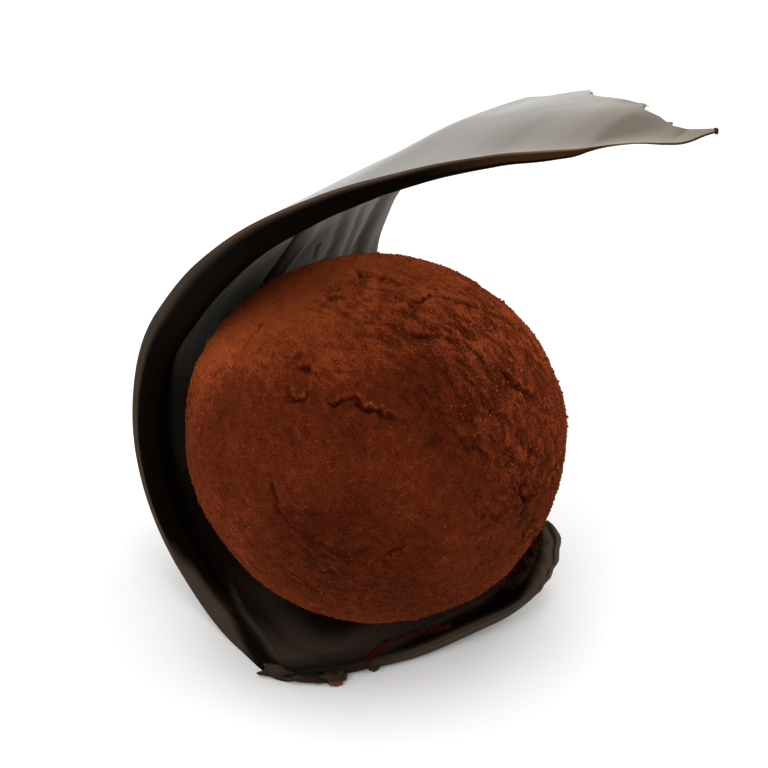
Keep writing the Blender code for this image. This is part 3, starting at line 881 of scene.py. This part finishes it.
# the crust: lumps of caked powder, torn into streaks along the way it was dragged
across_streaks = Vector((0, 0, 1)).cross(Vector(drag_way))
turned = add_node(tree, "ShaderNodeVectorRotate", {
    "Vector": place, "Axis": across_streaks, "Angle": -math.acos(drag_way[2])},
    rotation_type="AXIS_ANGLE")
squeezed = add_node(tree, "ShaderNodeVectorMath", {
    0: turned.outputs["Vector"], 1: (1.0, 1.0, 0.4)}, operation="MULTIPLY")
crust = add_node(tree, "ShaderNodeTexNoise", {
    "Vector": squeezed.outputs["Vector"], "Scale": 1500.0, "Detail": 6.0, "Roughness": 0.62})
torn = add_node(tree, "ShaderNodeMapRange", {
    "Value": crust.outputs["Fac"], "From Min": 0.36, "From Max": 0.56},
    interpolation_type="SMOOTHSTEP")
crusted = add_node(tree, "ShaderNodeMath", {
    0: torn.outputs["Result"], 1: coat_parts.outputs["Blue"]}, operation="MULTIPLY")
# the crust's hollows are painted darker, as shade between its lumps
crust_hollow_shade = add_node(tree, "ShaderNodeMath", {
    0: crusted.outputs["Value"], 1: coat_parts.outputs["Blue"]}, operation="SUBTRACT")
amount = add_node(tree, "ShaderNodeMath", {
    0: crust_hollow_shade.outputs["Value"], 1: 0.40, 2: amount.outputs["Value"]}, operation="MULTIPLY_ADD")
tint = add_node(tree, "ShaderNodeValToRGB", {"Fac": amount.outputs["Value"]})
RUBBED, DUSTED = (0.034, 0.0058, 0.0020, 1), (0.100, 0.0161, 0.0049, 1)
DEEP = (0.370, 0.072, 0.0195, 1)
ramp = tint.color_ramp
ramp.elements[0].position, ramp.elements[0].color = 0.0, RUBBED
ramp.elements[1].position, ramp.elements[1].color = 1.0, DEEP
ramp.elements.new(0.42).color = DUSTED
tree.links.new(tint.outputs["Color"], shader.inputs["Base Color"])
shader.inputs["Roughness"].default_value = 0.95
shader.inputs["Specular IOR Level"].default_value = 0.0
shader.inputs["Sheen Weight"].default_value = 0.06
shader.inputs["Sheen Roughness"].default_value = 0.5
shader.inputs["Sheen Tint"].default_value = (1.0, 0.35, 0.15, 1)
crust_bump = add_node(tree, "ShaderNodeBump", {
    "Height": crusted.outputs["Value"], "Distance": 0.00016, "Strength": 1.0})
bump = add_node(tree, "ShaderNodeBump", {
    "Height": speckle.outputs["Fac"], "Distance": 0.00010, "Strength": 0.8,
    "Normal": crust_bump.outputs["Normal"]})
tree.links.new(bump.outputs["Normal"], shader.inputs["Normal"])
truffle.data.materials.append(cocoa)
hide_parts("truffle")
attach(truffle, "root")

# ==== Loose cocoa ======================================================================
# Grains of the same powder that stand proud of the coat, and bigger crumbs of it along
# the cracks and on the rough side; one piece, each grain a closed lump of true size.
GRAINS, CRUMBS = 15000, 1300
GRAIN_SIZE, CRUMB_SIZE = (0.04, 0.085), (0.08, 0.17)    # half across, from and to
GRAIN_PROUD = 0.3                       # a lump's middle stands off by this share of its size
grain_random = np.random.default_rng(5)
# a lump has six corners, one to each side of its middle, and eight faces
lump_points = np.array([(1, 0, 0), (-1, 0, 0), (0, 1, 0), (0, -1, 0), (0, 0, 1), (0, 0, -1)], float)
lump_faces = np.array([(0, 2, 4), (2, 1, 4), (1, 3, 4), (3, 0, 4), (2, 0, 5), (1, 2, 5), (3, 1, 5),
                       (0, 3, 5)])


def scatter(name, places, normals, sizes, powders, material):
    """One piece made of many small lumps, their middles just above what they lie on."""
    count = len(places)
    stretch = grain_random.uniform(0.65, 1.25, (count, 6, 1))
    twist = grain_random.normal(size=(count, 3, 3))
    turns = np.linalg.qr(twist)[0]
    turns[:, :, 0] *= np.sign(np.linalg.det(turns))[:, None]
    corners = np.einsum("nij,kj->nki", turns, lump_points) * stretch * sizes[:, None, None]
    corners = corners + (places + normals * sizes[:, None] * GRAIN_PROUD)[:, None, :]
    tris = lump_faces[None] + 6 * np.arange(count)[:, None, None]
    piece = new_piece(name, (corners.reshape(-1, 3) * MM).tolist(), tris.reshape(-1, 3).tolist())
    shares = np.zeros((count, 6, 4))
    shares[..., 0] = powders[:, None]
    paint(piece, "coat", shares)
    piece.data.materials.append(material)
    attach(piece, "root")


corners_of = np.array(ball_faces)
first_corner = corners_of[:, 0]
chance = (0.5 + np.clip(powder, 0, 1) + 0.8 * rough)[first_corner]
chance = chance * (directions[first_corner, 2] > -0.85)     # none where the ball stands
crumb_chance = chance * (0.05 + rough + 1.5 * gap_seen + 2.0 * ridge_seen)[first_corner] ** 1.5
picks = np.concatenate([
    grain_random.choice(len(corners_of), GRAINS, p=chance / chance.sum()),
    grain_random.choice(len(corners_of), CRUMBS, p=crumb_chance / crumb_chance.sum())])
weights = grain_random.dirichlet((1, 1, 1, 1), len(picks))
grain_places = np.einsum("nk,nkj->nj", weights, ball[corners_of[picks]])
grain_sizes = np.concatenate([grain_random.uniform(*GRAIN_SIZE, GRAINS),
                              grain_random.uniform(*CRUMB_SIZE, CRUMBS)])
grain_powders = powder[first_corner[picks]] + grain_random.normal(0.02, 0.16, len(picks))
scatter("cocoa_grains", grain_places, directions[first_corner[picks]], grain_sizes,
        np.clip(grain_powders, 0, 1), cocoa)

# ==== Fallen cocoa =====================================================================
# Powder rubbed off the truffle as it was set down: two smears on the inside of the lip
# and a little heap of crumbs beside the ear. It lies on the chocolate, grain by grain.
FALLEN_SIZE, HEAP_SIZE, FALLEN_POWDER = (0.03, 0.09), (0.06, 0.20), (0.0, 0.16)
SMEAR_HALF, SMEAR_GRAINS = 0.10, 800
HEAP_SPREAD, HEAP_GRAINS = 0.75, 650
# where they lie, as seen from above
SMEARS = [((6.0, -6.0), (5.7, -3.3)), ((6.2, -2.5), (7.7, 1.4))]
HEAP = (7.0, 9.3)
floor_points = inner[rows < 14].reshape(-1, 3)


def on_the_floor(spots):
    """Points of the inner face straight under places seen from above."""
    nearest = [np.argmin((floor_points[:, 0] - x) ** 2 + (floor_points[:, 1] - y) ** 2)
               for x, y in spots]
    return np.column_stack([spots, floor_points[nearest, 2]])


fallen_spots = grain_random.normal(0, HEAP_SPREAD, (HEAP_GRAINS, 2)) * (0.8, 1.2) + HEAP
for start, end in SMEARS:
    way = grain_random.uniform(0, 1, (SMEAR_GRAINS, 1))
    line = np.array(start) + way * (np.array(end) - start)
    smear = line + grain_random.normal(0, SMEAR_HALF, (SMEAR_GRAINS, 2))
    fallen_spots = np.concatenate([fallen_spots, smear])
fallen_places = on_the_floor(fallen_spots)
fallen_sizes = grain_random.uniform(*FALLEN_SIZE, len(fallen_places))
fallen_sizes[:HEAP_GRAINS] = grain_random.uniform(*HEAP_SIZE, HEAP_GRAINS)
straight_up = np.tile([0.0, 0.0, 1.0], (len(fallen_places), 1))
scatter("fallen_cocoa", fallen_places, straight_up, fallen_sizes,
        grain_random.uniform(*FALLEN_POWDER, len(fallen_places)), cocoa)

# ==== Melted drips =====================================================================
# Chocolate that ran out under the lip while it was soft: a nub at the near corner, a thin
# flange along the lip's foot, a drip with a smaller one beside it, and on the drip an
# edge so thin that light comes through it amber.
ROUND, UP = 28, 16                      # steps round a lump and up it
LOWEST = 0.01                           # a drip stops just above the table
# Each is (middle x, y, z), (half length, width, height), turn in degrees
DRIPS = [((1.85, -11.55, 0.80), (1.25, 0.50, 0.60), 32), ((1.30, -12.15, 0.40), (0.95, 0.22, 0.20), 46),
         ((3.0, -10.45, 0.34), (2.5, 0.75, 0.36), 38), ((4.85, -8.35, 0.45), (1.15, 0.75, 0.50), 58),
         ((6.05, -5.2, 0.32), (0.45, 0.36, 0.32), 60)]
AMBER_EDGE = [((5.45, -8.60, 0.25), (0.60, 0.42, 0.26), 58)]


def blob_point(shape, up, round_by, tilt, rough_by):
    """A point of one uneven rounded lump, by its two angles."""
    middle, half, turn_degrees = shape
    p = Vector((math.cos(up) * math.cos(round_by), math.cos(up) * math.sin(round_by), math.sin(up)))
    uneven = 1 + rough_by * noise.noise(p * 1.7 + Vector(middle) * 3)
    p = Vector((p.x * half[0], p.y * half[1], p.z * half[2])) * uneven
    p = Vector((p.x, p.y, p.z + tilt * p.x))
    turned_by = math.radians(turn_degrees)
    p = Vector((p.x * math.cos(turned_by) - p.y * math.sin(turned_by),
                p.x * math.sin(turned_by) + p.y * math.cos(turned_by), p.z)) + Vector(middle)
    return (p.x * MM, p.y * MM, max(p.z, LOWEST) * MM)


def blobs(name, shapes, tilt, rough_by, material):
    """One piece of several small uneven rounded lumps."""
    blob_verts, blob_faces = [], []
    for shape in shapes:
        first = len(blob_verts)
        for i in range(UP + 1):
            for j in range(ROUND):
                blob_verts.append(blob_point(shape, -math.pi / 2 + math.pi * i / UP,
                                             2 * math.pi * j / ROUND, tilt, rough_by))
        for i in range(UP):
            for j in range(ROUND):
                k = (j + 1) % ROUND
                a, b = first + i * ROUND, first + (i + 1) * ROUND
                blob_faces.append((a + j, a + k, b + k, b + j))
    piece = new_piece(name, blob_verts, blob_faces)
    piece.data.shade_smooth()
    piece.data.materials.append(material)
    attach(piece, "root")


def mottled(name, scale, dark, light, roughness, gloss):
    """Thin chocolate whose colour wanders between two as its thickness does."""
    material, tree, shader = new_material(name)
    clouds = add_node(tree, "ShaderNodeTexNoise", {
        "Vector": add_node(tree, "ShaderNodeTexCoord").outputs["Object"], "Scale": scale,
        "Detail": 3.0})
    tree.links.new(two_colours(tree, clouds.outputs["Fac"], dark, light), shader.inputs["Base Color"])
    shader.inputs["Roughness"].default_value = roughness
    shader.inputs["Specular IOR Level"].default_value = gloss
    return material


thin_brown = mottled(
    "thin brown chocolate", scale=900.0, dark=(0.0075, 0.0042, 0.0027, 1),
    light=(0.0390, 0.0200, 0.0115, 1), roughness=0.45, gloss=0.12)
amber = mottled(
    "thinnest chocolate", scale=1800.0, dark=(0.030, 0.0055, 0.0012, 1),
    light=(0.150, 0.042, 0.009, 1), roughness=0.4, gloss=0.2)
blobs("melted_drips", DRIPS, tilt=0.0, rough_by=0.35, material=thin_brown)
blobs("amber_drip", AMBER_EDGE, tilt=0.0, rough_by=0.3, material=amber)

# ==== Splinters at the break ===========================================================
# Where the plume snapped, a pale flake of fat-bloomed chocolate still hangs on the far
# teeth and a hair-thin brown hook on the very tip.
FLAKE_ALONG = 98.1                      # along the strip from its lip
FLAKE_OFF_EDGE, FLAKE_HALF, FLAKE_TURN = (0.0, 0.02, 0.02), (0.55, 0.14, 0.06), -8
HOOK_OFF_TIP, HOOK_HALF, HOOK_TURN = (0.02, 0.0, -0.10), (0.16, 0.08, 0.22), 20
flake_row = int(np.argmin(np.abs(rows - FLAKE_ALONG)))
flake_place = tuple(outer[flake_row, -1] + np.array(FLAKE_OFF_EDGE))
hook_place = tuple(outer[-1].mean(axis=0) + np.array(HOOK_OFF_TIP))
cream = mottled(
    "bloomed flake", scale=1500.0, dark=(0.30, 0.19, 0.11, 1), light=(0.62, 0.49, 0.34, 1),
    roughness=0.6, gloss=0.5)
blobs("pale_flake", [(flake_place, FLAKE_HALF, FLAKE_TURN)], tilt=0.25, rough_by=0.6, material=cream)
blobs("tip_hook", [(hook_place, HOOK_HALF, HOOK_TURN)], tilt=-0.5, rough_by=0.5, material=thin_brown)
